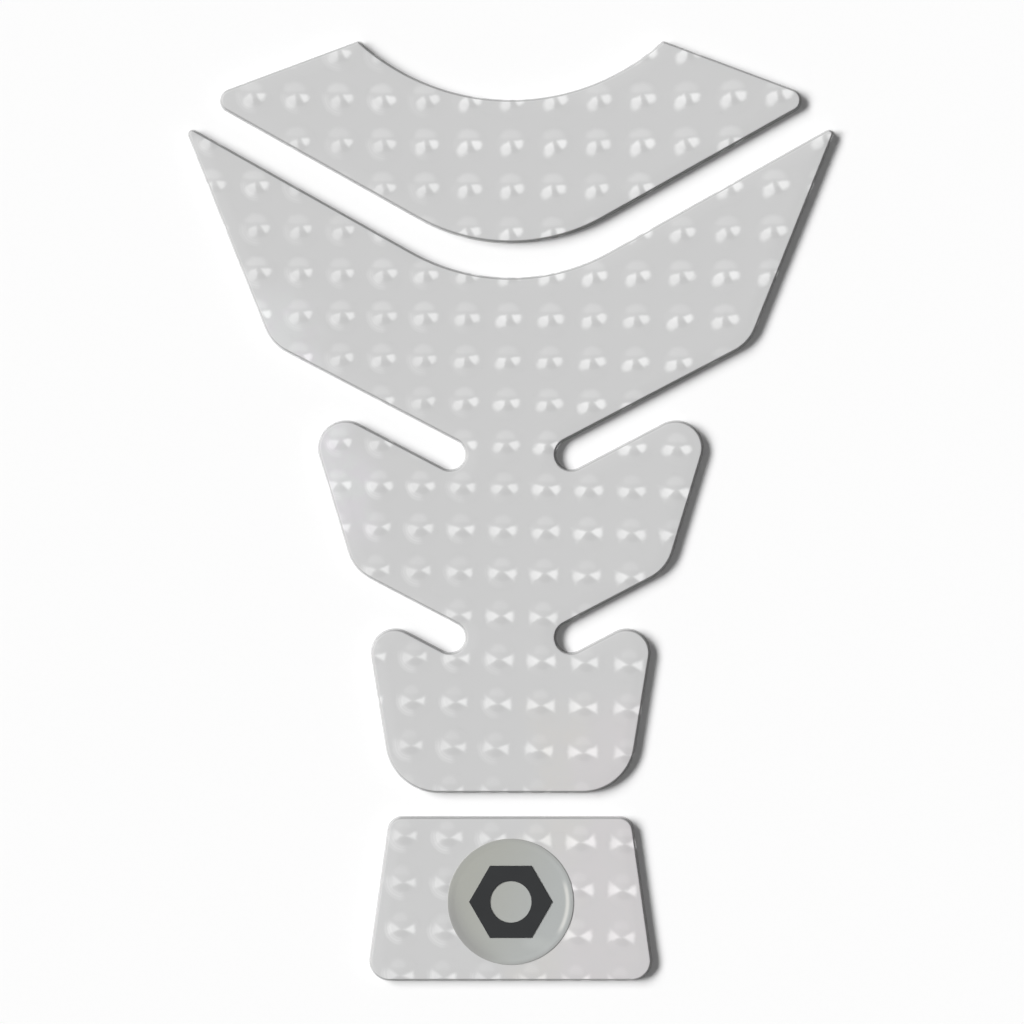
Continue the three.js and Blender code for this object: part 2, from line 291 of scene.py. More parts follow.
@dataclass(frozen=True)
class Wire:
    """A value in a node tree. Arithmetic on it makes Math nodes."""

    tree: bpy.types.NodeTree
    end: bpy.types.NodeSocket

    def math(self, operation: str, *others: "Wire | float") -> "Wire":
        """Makes a Math node whose first input is this value.

        Args:
            operation: the node's operation.
            others: its other inputs.

        Returns:
            The node's output.
        """
        values = dict(enumerate((self, *others)))
        node = make_node(self.tree, "ShaderNodeMath", values, operation=operation)
        return Wire(self.tree, node.outputs[0])

    def __add__(self, other: "Wire | float") -> "Wire":
        """Adds."""
        return self.math("ADD", other)

    def __sub__(self, other: "Wire | float") -> "Wire":
        """Subtracts."""
        return self.math("SUBTRACT", other)

    def __mul__(self, other: "Wire | float") -> "Wire":
        """Multiplies."""
        return self.math("MULTIPLY", other)

    def __truediv__(self, other: "Wire | float") -> "Wire":
        """Divides."""
        return self.math("DIVIDE", other)

    def __abs__(self) -> "Wire":
        """Drops the sign."""
        return self.math("ABSOLUTE")

    def length(self, other: "Wire") -> "Wire":
        """Gives the length of the flat vector of this value and another."""
        return (self * self + other * other).math("SQRT")

    def toward(self, other: "Wire", angle: float) -> "Wire":
        """Gives how far the flat vector of this value and another reaches towards an angle."""
        return self * heading(angle)[0] + other * heading(angle)[1]

    def rise(self, low: float, high: float) -> "Wire":
        """Makes a soft step.

        Args:
            low: where the step starts, at 0. It may be above high, and the step then falls.
            high: where it ends, at 1.

        Returns:
            The step.
        """
        values = {"Value": self, "From Min": min(low, high), "From Max": max(low, high)}
        values.update({"To Min": float(low > high), "To Max": float(low < high)})
        node = make_node(self.tree, "ShaderNodeMapRange", values, interpolation_type="SMOOTHSTEP")
        return Wire(self.tree, node.outputs["Result"])

    def part(self, axis: str) -> "Wire":
        """Takes one part of a vector."""
        node = make_node(self.tree, "ShaderNodeSeparateXYZ", {0: self})
        return Wire(self.tree, node.outputs[axis])

    def vector(self, operation: str, *others: "Wire | float | tuple") -> "Wire":
        """Makes a Vector Math node whose first input is this vector.

        Args:
            operation: the node's operation.
            others: the other vector where it takes one, or the factor of SCALE.

        Returns:
            The node's output.
        """
        places = (0, "Scale" if operation == "SCALE" else 1)
        values = dict(zip(places, (self, *others)))
        node = make_node(self.tree, "ShaderNodeVectorMath", values, operation=operation)
        return Wire(self.tree, node.outputs[0])


def plug(tree: bpy.types.NodeTree, value: object, socket: bpy.types.NodeSocket) -> None:
    """Connects a value to an input, or writes a constant on it.

    Args:
        tree: the tree of both.
        value: a wire, an output or a constant.
        socket: the input.
    """
    end = value.end if isinstance(value, Wire) else value
    if isinstance(end, bpy.types.NodeSocket):
        tree.links.new(end, socket)
    else:
        socket.default_value = end


class Group:
    """A shader node group under construction."""

    def __init__(self, name: str, inputs: dict[str, object], outputs: list[str]) -> None:
        """Makes the group and its sockets.

        Args:
            name: the group's name.
            inputs: each input's name and default, a number or three for a vector.
            outputs: the names of the outputs, which are values; a name ending in Colour is a
                colour.
        """
        self.tree = bpy.data.node_groups.new(name, "ShaderNodeTree")
        for label, default in inputs.items():
            kind = "NodeSocketVector" if isinstance(default, tuple) else "NodeSocketFloat"
            socket = self.tree.interface.new_socket(label, in_out="INPUT", socket_type=kind)
            socket.default_value = default
        for label in outputs:
            kind = "NodeSocketColor" if label.endswith("Colour") else "NodeSocketFloat"
            self.tree.interface.new_socket(label, in_out="OUTPUT", socket_type=kind)
        self.given = self.tree.nodes.new("NodeGroupInput")
        self.result = self.tree.nodes.new("NodeGroupOutput")

    def input(self, label: str) -> Wire:
        """Gives one of the group's inputs."""
        return Wire(self.tree, self.given.outputs[label])

    def output(self, label: str, value: Wire) -> None:
        """Connects one of the group's outputs."""
        plug(self.tree, value, self.result.inputs[label])


def make_node(
    tree: bpy.types.NodeTree, kind: str, values: dict[str, object], **settings: object
) -> bpy.types.Node:
    """Makes a node in any tree.

    Args:
        tree: the tree.
        kind: the node's type.
        values: wires or constants for its inputs, by name or place.
        settings: its own properties.

    Returns:
        The node.
    """
    node = tree.nodes.new(kind)
    for name, value in settings.items():
        setattr(node, name, value)
    for name, value in values.items():
        plug(tree, value, node.inputs[name])
    return node


@dataclass(frozen=True)
class Wedge:
    """One of a spot's two painted glints: a bright wedge painted into the colour where turned
    grooves would catch a lamp, in millimetres and degrees.

    What ends in _lift is added towards the top of the set, and _left towards its left side.
    """

    tip_x: float
    angle: float
    angle_lift: float
    length: float
    length_lift: float
    slope: float
    slope_round: float
    slope_left: float
    level: float
    level_left: float
    outer_level: float
    length_left: float = -0.3
    length_spread: float = 0.4
    tip_width: float = 0.1
    side_blur: Pair = (-0.4, 0.6)
    end_blur: Pair = (0.35, -0.65)
    blob_blur: Pair = (1.25, 0.45)
    blob_half_length: float = 0.55
    blob_half_width: float = 1.35
    fade: Pair = (0.4, 2.4)

    def mask(self, at: tuple[Wire, Wire], spot: dict[str, Wire], chance: Wire) -> Wire:
        """Draws the painted glint, a wedge with soft edges.

        Args:
            at: where a point is, across and up from the height of the wedge's tip.
            spot: the spot's tilt, lift, left and round, which is 0 for a straight outer end and
                1 for a round blob.
            chance: a random value of the spot.

        Returns:
            The mask.
        """
        lift, left, blunt = spot["lift"], spot["left"], spot["round"]
        angle = lift * math.radians(self.angle_lift) + math.radians(self.angle) + spot["tilt"]
        length = lift * self.length_lift + left * self.length_left + self.length
        length = length + (chance - 0.5) * self.length_spread
        slope = blunt * self.slope_round + left * self.slope_left + self.slope
        dx, dy = at[0] - self.tip_x, at[1]
        cos, sin = angle.math("COSINE"), angle.math("SINE")
        along, aside = dx * cos + dy * sin, abs(dy * cos - dx * sin)
        side = (along * slope - aside + self.tip_width).rise(*self.side_blur)
        end = (along - length).rise(*self.end_blur)
        out = (along - length * 0.5) / (length * self.blob_half_length)
        blob = out.length(aside / self.blob_half_width).rise(*self.blob_blur)
        fade = along.rise(*self.fade) * (self.outer_level - 1.0) + 1.0
        level = left * self.level_left + self.level
        return side * (end + (blob - end) * blunt) * fade * level


@dataclass(frozen=True)
class SpotPaintedLightAndGrooves:
    """The light and shade painted on a spot where its turned grooves would catch the lamps, and the
    grooves themselves, in millimetres and degrees.
    """

    left_wedge: Wedge = Wedge(
        tip_x=-0.45, angle=176, angle_lift=68.75, length=2.75, length_lift=0.75, slope=0.48,
        slope_round=0.3, slope_left=0, level=0.95, level_left=-0.32, outer_level=0.75,
    )
    right_wedge: Wedge = Wedge(
        tip_x=0.45, angle=3, angle_lift=-34, length=2.6, length_lift=0, slope=0.46,
        slope_round=0.25, slope_left=-0.1, level=1, level_left=-0.12, outer_level=1,
    )
    wobble: Pair = (0.7, -0.5)
    tilt_spread: float = 12
    tip_y: float = -0.15
    tip_lift: float = 1.1
    round_end: float = 0.35
    round_lift: float = 1.2
    fan_at: Pair = (-0.1, 1.7)
    fan_left: float = -0.4
    fan_size: Pair = (1.7, 1.6)
    fan_size_lift: Pair = (0.8, 0.2)
    fan_blur: Pair = (1.25, 0.6)
    fan_foot: Pair = (1.0, 1.9)
    fan_level: float = 0.55
    dull_at: Pair = (0.1, -1.2)
    dull_lift: Pair = (0.4, 0.3)
    dull_width: float = 1.8
    dull_blur: Pair = (1.2, 0.3)
    arc_at: Pair = (-0.35, 0.15)
    arc_radius: float = 2.9
    arc_blur: Pair = (1.2, 0.2)
    arc_angle: float = 222
    arc_reach: Pair = (0.35, 0.8)
    stripe_step: float = 0.62
    stripe_depth: float = 0.22
    groove_step: float = 0.42
    rim: Pair = (3.7, 3.3)

    def group(self) -> bpy.types.NodeTree:
        """Builds the shader node group.

        Returns:
            The group. Glint is the pair of painted glints, Fan a painted sheen above them, Arc a
            thin painted highlight round the lower left, Shade painted shade below, and Groove the
            grooves.
        """
        names = ["Across", "Up", "Chance One", "Chance Two", "Chance Three"]
        names += ["Lift", "Leftness", "Wobble"]
        outputs = ["Glint", "Fan", "Arc", "Shade", "Groove"]
        group = Group("turned spot marks", {name: 0.0 for name in names}, outputs)
        x, y, one, two, three, lift, left, wobble = (group.input(name) for name in names)
        x, y = x + (wobble - 0.5) * self.wobble[0], y + (wobble - 0.5) * self.wobble[1]
        spot = {"lift": lift, "left": left, "tilt": (one - 0.5) * math.radians(self.tilt_spread)}
        spot["round"] = (lift * self.round_lift + self.round_end).math("MINIMUM", 1.0)
        at = x, y - (lift * self.tip_lift + self.tip_y)
        # Painted highlights: the two glints of the spot.
        glint = self.left_wedge.mask(at, spot, two)
        group.output("Glint", glint.math("MAXIMUM", self.right_wedge.mask(at, spot, three)))
        # Painted highlight: a pale sheen above the glints.
        group.output("Fan", self._fan(x, y, lift, left) * (three * 0.6 + 0.7))
        # Painted shade: a dull patch below the glints.
        dull_x = (x - lift * self.dull_lift[0] - self.dull_at[0]) / self.dull_width
        dull_y = y - lift * self.dull_lift[1] - self.dull_at[1]
        group.output("Shade", dull_x.length(dull_y).rise(*self.dull_blur))
        # Painted highlight: a thin striped arc round the lower left, at the left of the set.
        arc = self._arc(x - self.arc_at[0], y - self.arc_at[1], two)
        group.output("Arc", arc * left * (lift * -0.5 + three * 0.4 + 0.9))
        from_middle = x.length(y)
        grooves = (from_middle * (2 * math.pi / self.groove_step)).math("SINE") * 0.5 + 0.5
        group.output("Groove", grooves * from_middle.rise(*self.rim))
        return group.tree

    def _fan(self, x: Wire, y: Wire, lift: Wire, left: Wire) -> Wire:
        """Draws the painted sheen, a pale patch above the glints.

        Args:
            x: the distance from the spot's middle along X.
            y: the distance along Y.
            lift: 1 at the top of the set and 0 at the bottom.
            left: 1 at the left of the set and 0 at the right.

        Returns:
            The mask.
        """
        width, height = (
            lift * more + size for size, more in zip(self.fan_size, self.fan_size_lift)
        )
        fan_x = (x - left * self.fan_left - self.fan_at[0]) / width
        cap = fan_x.length((y - self.fan_at[1]) / height).rise(*self.fan_blur)
        level = lift * (1 - self.fan_level) + self.fan_level
        return cap * y.rise(*self.fan_foot) * level

    def _arc(self, x: Wire, y: Wire, chance: Wire) -> Wire:
        """Draws the painted highlight, a thin striped line round the lower left.

        Args:
            x: the distance from the arc's centre along X.
            y: the distance along Y.
            chance: a random value of the spot.

        Returns:
            The mask.
        """
        radius = x.length(y)
        facing = x.toward(y, self.arc_angle) / radius.math("MAXIMUM", 0.1)
        line = abs(radius - self.arc_radius + (chance - 0.5) * 0.5).rise(*self.arc_blur)
        stripes = (radius * (2 * math.pi / self.stripe_step) + chance * 6).math("SINE")
        stripes = stripes * self.stripe_depth + (1 - self.stripe_depth)
        return line * stripes * facing.rise(*self.arc_reach)


class Effects:
    """The shader node groups that the finishes share, each made once."""

    FACE_SLOPE = (0.85, 0.985)
    DETAIL = {"Speck": 2.0, "Cloud": 3.0}

    def __init__(self) -> None:
        """Makes the groups."""
        self.spot_grid = self._spot_grid()
        self.spot_painted_light_and_grooves = SpotPaintedLightAndGrooves().group()
        self.grain = self._grain()
        self.level = self._level()

    @staticmethod
    def _spot_grid() -> bpy.types.NodeTree:
        """Builds the group that finds the nearest spot of the film.

        Returns:
            The group. Across and Up are the distance from the spot's middle in millimetres, and
            the chances are random values of the spot.
        """
        terms = [f"Term {n}" for n in range(1, 10)]
        inputs: dict[str, object] = {"Origin Y": 0.0, "Unit": 50.0, "Pitch": 9.5}
        inputs.update({name: (0.0, 0.0, 0.0) for name in ("Position", "Start", *terms)})
        outputs = ["Across", "Up", "Chance One", "Chance Two", "Chance Three"]
        group = Group("film spot grid", inputs, outputs)
        at, unit, pitch = (group.input(name) for name in ("Position", "Unit", "Pitch"))
        x, y = at.part("X") / MM / unit, (at.part("Y") / MM - group.input("Origin Y")) / unit
        place = group.input("Start")
        for term, product in zip(terms, products(x, y)):
            place = place.vector("ADD", group.input(term).vector("SCALE", product))
        cell = place.vector("ADD", (0.5, 0.5, 0.5)).vector("FLOOR")
        away = place.vector("SUBTRACT", cell)
        group.output("Across", away.part("X") * pitch)
        group.output("Up", away.part("Y") * pitch)
        chance = make_node(group.tree, "ShaderNodeTexWhiteNoise", {"Vector": cell})
        parts = make_node(group.tree, "ShaderNodeSeparateColor", {0: chance.outputs["Color"]})
        for label, part in zip(outputs[2:], ("Red", "Green", "Blue")):
            group.output(label, Wire(group.tree, parts.outputs[part]))
        return group.tree

    @classmethod
    def _grain(cls) -> bpy.types.NodeTree:
        """Builds the group of the fine irregularities that all the prints share.

        Returns:
            The group. Speck is fine noise and Cloud is broad noise, both about 0.5.
        """
        inputs: dict[str, object] = {"Position": (0.0, 0.0, 0.0)}
        inputs.update({"Speck Scale": 4000.0, "Cloud Scale": 60.0})
        group = Group("print grain", inputs, ["Speck", "Cloud"])
        for label, detail in cls.DETAIL.items():
            scale = group.input(f"{label} Scale")
            values = {"Vector": group.input("Position"), "Scale": scale, "Detail": detail}
            noise = make_node(group.tree, "ShaderNodeTexNoise", values)
            group.output(label, Wire(group.tree, noise.outputs[0]))
        return group.tree

    @classmethod
    def _level(cls) -> bpy.types.NodeTree:
        """Builds the group that tells the face of a piece from its edge.

        Returns:
            The group. Level is 1 on the face and 0 on the rounded edge and the wall.
        """
        group = Group("face and edge", {"Normal": (0.0, 0.0, 1.0)}, ["Level"])
        group.output("Level", group.input("Normal").part("Z").rise(*cls.FACE_SLOPE))
        return group.tree


def grey(level: float, red: float = 0, green: float = 0, blue: float = 0) -> Colour:
    """Turns a display grey into a linear colour, by the curve of sRGB.

    Args:
        level: the grey, from 0 to 255.
        red: added to the red part.
        green: added to the green part.
        blue: added to the blue part.

    Returns:
        The colour with an alpha of 1.
    """
    parts = [(level + shift) / 255 for shift in (red, green, blue)]
    return (*(((part + 0.055) / 1.055) ** 2.4 for part in parts), 1.0)


class Finish:
    """A material under construction, with its shader and its coordinates."""

    def __init__(self, name: str, **sockets: object) -> None:
        """Makes the material.

        Args:
            name: the material's name.
            sockets: constants for the Principled shader's sockets, with _ for a space.
        """
        self.material = bpy.data.materials.new(name)
        self.material.use_nodes = True
        self.tree = self.material.node_tree
        self.shader = self.tree.nodes["Principled BSDF"]
        for label, value in sockets.items():
            self.shader.inputs[label.replace("_", " ")].default_value = value
        place = self.tree.nodes.new("ShaderNodeTexCoord")
        self.position = Wire(self.tree, place.outputs["Object"])
        self.normal = Wire(self.tree, place.outputs["Normal"])

    def use(self, group: bpy.types.NodeTree, **values: object) -> dict[str, Wire]:
        """Places a shared group in the material.

        Args:
            group: the group.
            values: wires or constants for its inputs, with _ for a space.

        Returns:
            The group's outputs by name.
        """
        node = make_node(self.tree, "ShaderNodeGroup", {}, node_tree=group)
        for label, value in values.items():
            plug(self.tree, value, node.inputs[label.replace("_", " ")])
        return {socket.name: Wire(self.tree, socket) for socket in node.outputs}

    def grain(self, effects: Effects, **scales: float) -> list[Wire]:
        """Gives the fine and the broad noise of the shared grain."""
        return list(self.use(effects.grain, Position=self.position, **scales).values())

    def mix(self, share: Wire | float, low: Wire | Colour, high: Wire | Colour) -> Wire:
        """Blends two colours.

        Args:
            share: 0 gives the first colour and 1 the second.
            low: the first colour.
            high: the second colour.

        Returns:
            The blend.
        """
        values = {0: share, 6: low, 7: high}
        node = make_node(self.tree, "ShaderNodeMix", values, data_type="RGBA")
        return Wire(self.tree, node.outputs[2])

    def shade(self, label: str, value: object) -> None:
        """Connects a value to one of the shader's sockets."""
        plug(self.tree, value, self.shader.inputs[label])

    def bump(self, height: Wire, distance: float, strength: float) -> None:
        """Feeds the shader's normal from a height.

        Args:
            height: the height, from 0 to 1.
            distance: how high 1 is, in metres.
            strength: the bump's strength.
        """
        values = {"Height": height, "Distance": distance, "Strength": strength}
        node = make_node(self.tree, "ShaderNodeBump", values)
        self.shade("Normal", node.outputs["Normal"])


@dataclass(frozen=True)
class EngineTurnedFilm:
    """Silver-grey film with turned spots under clear resin, with painted glints, sheen and shade on
    the spots. Places are in millimetres.
    """

    name: str
    lay: FilmLay
    base: Colour = grey(202)
    violet: Colour = grey(208, 1, -1, 2)
    mint: Colour = grey(210, -0.5, 0.5, 0.5)
    pink: Colour = grey(203, 3, 0, 1)
    straw: Colour = grey(204, 2, 0, -3)
    vinyl: Colour = grey(200)
    # Darker grey of the rounded edge above the film: partly the resin's cut edge, partly painted
    # shade.
    resin_edge: Colour = grey(172)
    vinyl_top: Pair = (0.26, 0.34)
    top: Pair = (-60, 80)
    left: Pair = (4, -24)
    left_slant: float = 0.12
    streak_x: float = -35.5
    streak_slant: float = 0.35
    streak_blur: Pair = (10, 2)
    streak_foot: Pair = (-12, 2)
    streak_top: Pair = (54, 42)
    stain_y: float = -55
    pink_from: Pair = (6, 22)
    pink_below: Pair = (-36, -50)
    straw_x: float = 10
    straw_blur: Pair = (9, 2)
    straw_below: Pair = (-38, -50)
    # The first four gains set the painted light: how much the glints, the sheen and the arc lighten
    # the film, and how much the painted shade darkens it.
    glint_gain: float = 0.43
    glint_metal: float = 0.2
    fan_gain: float = 0.09
    arc_gain: float = 0.13
    shade_gain: float = -0.065
    groove_gain: float = 0.012
    groove_depth: float = 0.00001

    def material(self, effects: Effects) -> bpy.types.Material:
        """Builds the material.

        Args:
            effects: the shared groups.

        Returns:
            The material.
        """
        finish = Finish(self.name, IOR=1.5, Coat_Roughness=0.06, Specular_IOR_Level=0.02)
        lay, at = self.lay, finish.position
        x, y, z = (at.part(axis) / MM for axis in "XYZ")
        spot = finish.use(
            effects.spot_grid, Position=at, Origin_Y=lay.origin_y, Start=(*lay.start, 0.0),
            Unit=lay.unit, Pitch=lay.pitch,
            **{f"Term_{n}": (*pair, 0.0) for n, pair in enumerate(lay.terms, 1)},
        )
        wobble = finish.grain(effects, Speck_Scale=620.0)[0]
        leftness = (x + y * self.left_slant).rise(*self.left)
        marks = finish.use(
            effects.spot_painted_light_and_grooves, Lift=y.rise(*self.top), Leftness=leftness, Wobble=wobble, **spot
        )
        speck, cloud = finish.grain(effects)
        face = finish.use(effects.level, Normal=finish.normal)["Level"]
        # Painted light: glints, sheen and arc are painted highlights and Shade is painted shade, on
        # top of the grooves and the grain.
        light = marks["Glint"] * ((spot["Chance Two"] - 0.5) * 0.1 + self.glint_gain)
        light = light + marks["Fan"] * self.fan_gain + marks["Arc"] * self.arc_gain
        light = light + marks["Shade"] * self.shade_gain
        light = light + (marks["Groove"] - 0.5) * self.groove_gain
        light = light + (speck - 0.5) * 0.03 + (cloud - 0.5) * 0.02
        tint = self._tint(finish, x, y, *finish.grain(effects, Speck_Scale=260.0, Cloud_Scale=90.0))
        # The wall and the rounded edge: vinyl grey low down, and above it a darker grey that is
        # partly painted shade.
        edge = finish.mix(z.rise(*self.vinyl_top), self.vinyl, self.resin_edge)
        film = tint.vector("SCALE", light + 1.0)
        finish.shade("Base Color", finish.mix(face, edge, film))
        finish.shade("Metallic", marks["Glint"] * face * self.glint_metal)
        finish.shade("Coat Weight", face)
        finish.shade("Roughness", marks["Glint"] * -0.1 + speck * 0.06 + 0.36)
        finish.bump(marks["Groove"] * face + speck * 0.3, self.groove_depth, 0.5)
        return finish.material

    def _tint(self, finish: Finish, x: Wire, y: Wire, patch: Wire, cloud: Wire) -> Wire:
        """Colours the film faintly: a pale streak at the left, pink and straw at the lower right.

        Args:
            finish: the material.
            x: the frame's x in millimetres.
            y: the frame's y.
            patch: noise with patches of a few millimetres.
            cloud: noise with patches of about ten millimetres.

        Returns:
            The colour.
        """
        streak = abs(x + y * self.streak_slant - self.streak_x + (cloud - 0.5) * 16)
        streak = streak.rise(*self.streak_blur)
        streak = streak * y.rise(*self.streak_foot) * y.rise(*self.streak_top)
        pale = finish.mix((patch + x * 0.006 + 0.24).rise(0.35, 0.65), self.mint, self.violet)
        colour = finish.mix(streak, self.base, pale)
        place = x - (y - self.stain_y) * 0.1 + (cloud - 0.5) * 26
        pink = place.rise(*self.pink_from) * y.rise(*self.pink_below) * (patch * 0.8 + 0.4)
        straw = abs(place - self.straw_x).rise(*self.straw_blur) * y.rise(*self.straw_below)
        return finish.mix(straw * patch, finish.mix(pink, colour, self.pink), self.straw)


@dataclass(frozen=True)
class AdhesiveBack:
    """Milky acrylic adhesive on the back of a pad."""

    colour: Colour = grey(214)
    thick: Colour = grey(204, 2, 1, -4)
    orange_peel: float = 0.00005

    def material(self, effects: Effects) -> bpy.types.Material:
        """Builds the material.

        Args:
            effects: the shared groups.

        Returns:
            The material.
        """
        finish = Finish("adhesive_back", Roughness=0.5, IOR=1.47)
        speck, cloud = finish.grain(effects, Speck_Scale=1500.0, Cloud_Scale=140.0)
        share = cloud.rise(0.35, 0.65) * 0.6 + speck * 0.4
        finish.shade("Base Color", finish.mix(share, self.colour, self.thick))
        finish.shade("Roughness", cloud * 0.2 + 0.38)
        finish.bump(speck + cloud, self.orange_peel, 0.4)
        return finish.material


@dataclass(frozen=True)
class BadgePrintAndPaintedLight:
    """Grey satin print of the badge under clear resin, with painted light: painted shade on the
    lower left and round the rim, and painted highlights on the lower right and along the lip on the
    right.

    Places are parts of the radius from the centre, and directions are degrees.
    """

    centre_y: float
    radius: float
    # The first two greys are the print's, the cool one also a little lighter; the next paints
    # shade, and the last two paint highlights.
    olive: Colour = grey(168, 0, 1, -6)
    cool: Colour = grey(174, 0, 3, 2)
    painted_shade_and_darker_rim: Colour = grey(150, 1, 1, -1)
    pale: Colour = grey(208, 1, 1, -3)
    painted_highlight_patch: Colour = grey(181, 0, 3, 1)
    cool_side: float = -20
    cool_reach: Pair = (-0.8, 0.9)
    dark_side: float = 212
    dark_reach: Pair = (0.45, 1.05)
    dark_ring: Pair = (0.55, 0.97)
    rim: Pair = (0.93, 0.99)
    glow_at: Pair = (0.42, -0.66)
    glow_blur: Pair = (0.5, 0.1)
    line_radius: float = 0.9
    line_blur: Pair = (0.05, 0.005)
    line_side: float = -6
    line_reach: Pair = (0.86, 0.96)
    grain_depth: float = 0.000006

    def material(self, effects: Effects) -> bpy.types.Material:
        """Builds the material.

        Args:
            effects: the shared groups.

        Returns:
            The material.
        """
        finish = Finish("badge_print_and_painted_light", IOR=1.5, Coat_Roughness=0.08, Specular_IOR_Level=0.02)
        x = finish.position.part("X") / MM / self.radius
        y = (finish.position.part("Y") / MM - self.centre_y) / self.radius
        out = x.length(y)
        # Olive grey at the upper left turns to a lighter cool grey towards the right: a change of
        # hue, and partly painted light.
        cool = x.toward(y, self.cool_side).rise(*self.cool_reach)
        colour = finish.mix(cool, self.olive, self.cool)
        # Painted shade: darker towards the lower left, and darker all round the rim.
        low = x.toward(y, self.dark_side).rise(*self.dark_reach) * out.rise(*self.dark_ring)
        painted_shade_and_darker_rim = (out.rise(*self.rim) * 0.4).math("MAXIMUM", low)
        colour = finish.mix(painted_shade_and_darker_rim, colour, self.painted_shade_and_darker_rim)
        # Painted highlight: a soft pale patch on the lower right.
        glow_x, glow_y = x - self.glow_at[0], y - self.glow_at[1]
        painted_highlight_patch = (glow_x * glow_x * 2.5 + glow_y * glow_y * 9.0).math("SQRT").rise(*self.glow_blur)
        colour = finish.mix(painted_highlight_patch * 0.8, colour, self.painted_highlight_patch)
        # Painted highlight: a thin pale crescent along the lip on the right.
        line = abs(out - self.line_radius).rise(*self.line_blur)
        line = line * (x.toward(y, self.line_side) / out).rise(*self.line_reach)
        colour = finish.mix(line, colour, self.pale)
        speck, cloud = finish.grain(effects, Cloud_Scale=110.0)
        light = (speck - 0.5) * 0.05 + (cloud - 0.5) * 0.06 + 1.0
        finish.shade("Base Color", colour.vector("SCALE", light))
        finish.shade("Roughness", speck * 0.1 + 0.3)
        finish.shade("Coat Weight", finish.use(effects.level, Normal=finish.normal)["Level"])
        finish.bump(speck, self.grain_depth, 0.4)
        return finish.material


@dataclass(frozen=True)
class EmblemInk:
    """Charcoal screen-print ink."""

    colour: Colour = grey(50, 0, 1, 2)
    thin: Colour = grey(56, 0, 1, 2)
    grain_depth: float = 0.00001

    def material(self, effects: Effects) -> bpy.types.Material:
        """Builds the material.

        Args:
            effects: the shared groups.

        Returns:
            The material.
        """
        finish = Finish("emblem_ink", IOR=1.45, Specular_IOR_Level=0.12)
        speck, cloud = finish.grain(effects, Cloud_Scale=180.0)
        finish.shade("Base Color", finish.mix(cloud, self.colour, self.thin))
        finish.shade("Roughness", speck * 0.15 + 0.4)
        finish.bump(speck, self.grain_depth, 0.5)
        return finish.material


def seen_rays(tree: bpy.types.NodeTree) -> Wire:
    """Tells the rays that the camera sees, straight or in gloss or glass, from lighting rays.

    Args:
        tree: the tree of a material or of the world.

    Returns:
        1 for a seen ray and 0 for another.
    """
    path = make_node(tree, "ShaderNodeLightPath", {})
    camera, glossy, through = (
        Wire(tree, path.outputs[f"Is {kind} Ray"]) for kind in ("Camera", "Glossy", "Transmission")
    )
    return camera.math("MAXIMUM", glossy).math("MAXIMUM", through)


@dataclass(frozen=True)
class TablePaper:
    """White seamless paper, which the camera sees a little lighter than it is lit."""

    colour: Colour = grey(249)
    fibre_gain: float = 1.01
    fibre_scale: float = 900
    lift: float = 0.03

    def material(self) -> bpy.types.Material:
        """Builds the material.

        Returns:
            The material.
        """
        finish = Finish("table_paper", Roughness=0.9, IOR=1.3, Emission_Color=(1, 1, 1, 1))
        values = {"Vector": finish.position, "Scale": self.fibre_scale, "Detail": 3.0}
        fibre = make_node(finish.tree, "ShaderNodeTexNoise", values)
        paler = tuple(min(1.0, part * self.fibre_gain) for part in self.colour)
        finish.shade("Base Color", finish.mix(fibre.outputs[0], self.colour, paler))
        finish.shade("Emission Strength", seen_rays(finish.tree) * self.lift)
        return finish.material


@dataclass(frozen=True)
class Dome:
    """The section of a pad's edge and face."""

    thickness: float = THICKNESS
    film: float = 0.27
    film_rounding: float = 0.02
    film_margin: float = 0.28
    meniscus: float = 0.03
    foot: float = 1.45
    rounding: float = 0.78
    shoulder: float = 1.95
    crown_reach: float = 2.4
    steps: int = 9

    def rings(self) -> list[Pair]:
        """Lists the rings of the edge from the back to the face.

        Returns:
            The distance inside the outline, and the height, of each.
        """
        film, soft, start = self.film, self.film_rounding, self.film_margin
        section = [(0.0, 0.0), (0.0, film - soft), (soft, film), (start - soft, film)]
        section.append((start, film + self.meniscus))
        for step in range(self.steps + 1):
            across, up = heading(90 * step / self.steps)
            inset = start + (self.rounding - start) * (1 - across)
            section.append((inset, self.foot + (self.shoulder - self.foot) * up))
        return section

    def crown(self, depth: np.ndarray) -> np.ndarray:
        """Gives the height of the face.

        Args:
            depth: distances inside the outline.

        Returns:
            The heights, without the spots.
        """
        share = np.clip((depth - self.rounding) / self.crown_reach, 0, 1)
        return self.shoulder + (self.thickness - self.shoulder) * share**2 * (3 - 2 * share)


def add_object(name: str, data: bpy.types.ID) -> bpy.types.Object:
    """Puts a new object in the scene.

    Args:
        name: its name.
        data: its mesh, lamp or camera.

    Returns:
        The object.
    """
    piece = bpy.data.objects.new(name, data)
    bpy.context.scene.collection.objects.link(piece)
    return piece


def stacked(rings: list[tuple[np.ndarray, float]]) -> np.ndarray:
    """Raises flat rings of points to their heights, one after the other."""
    return np.concatenate([np.column_stack([r, np.full(len(r), high)]) for r, high in rings])


def joined(rings: int, count: int, closed: bool = False) -> list[list[int]]:
    """Joins each ring of points to the next with four-sided faces.

    Args:
        rings: how many rings there are.
        count: how many points each has.
        closed: whether the last ring joins the first.

    Returns:
        The faces, as places in the rings' points.
    """
    faces = []
    for a in range(rings if closed else rings - 1):
        low, high = a * count, (a + 1) % rings * count
        for i in range(count):
            j = (i + 1) % count
            faces.append([low + i, low + j, high + j, high + i])
    return faces


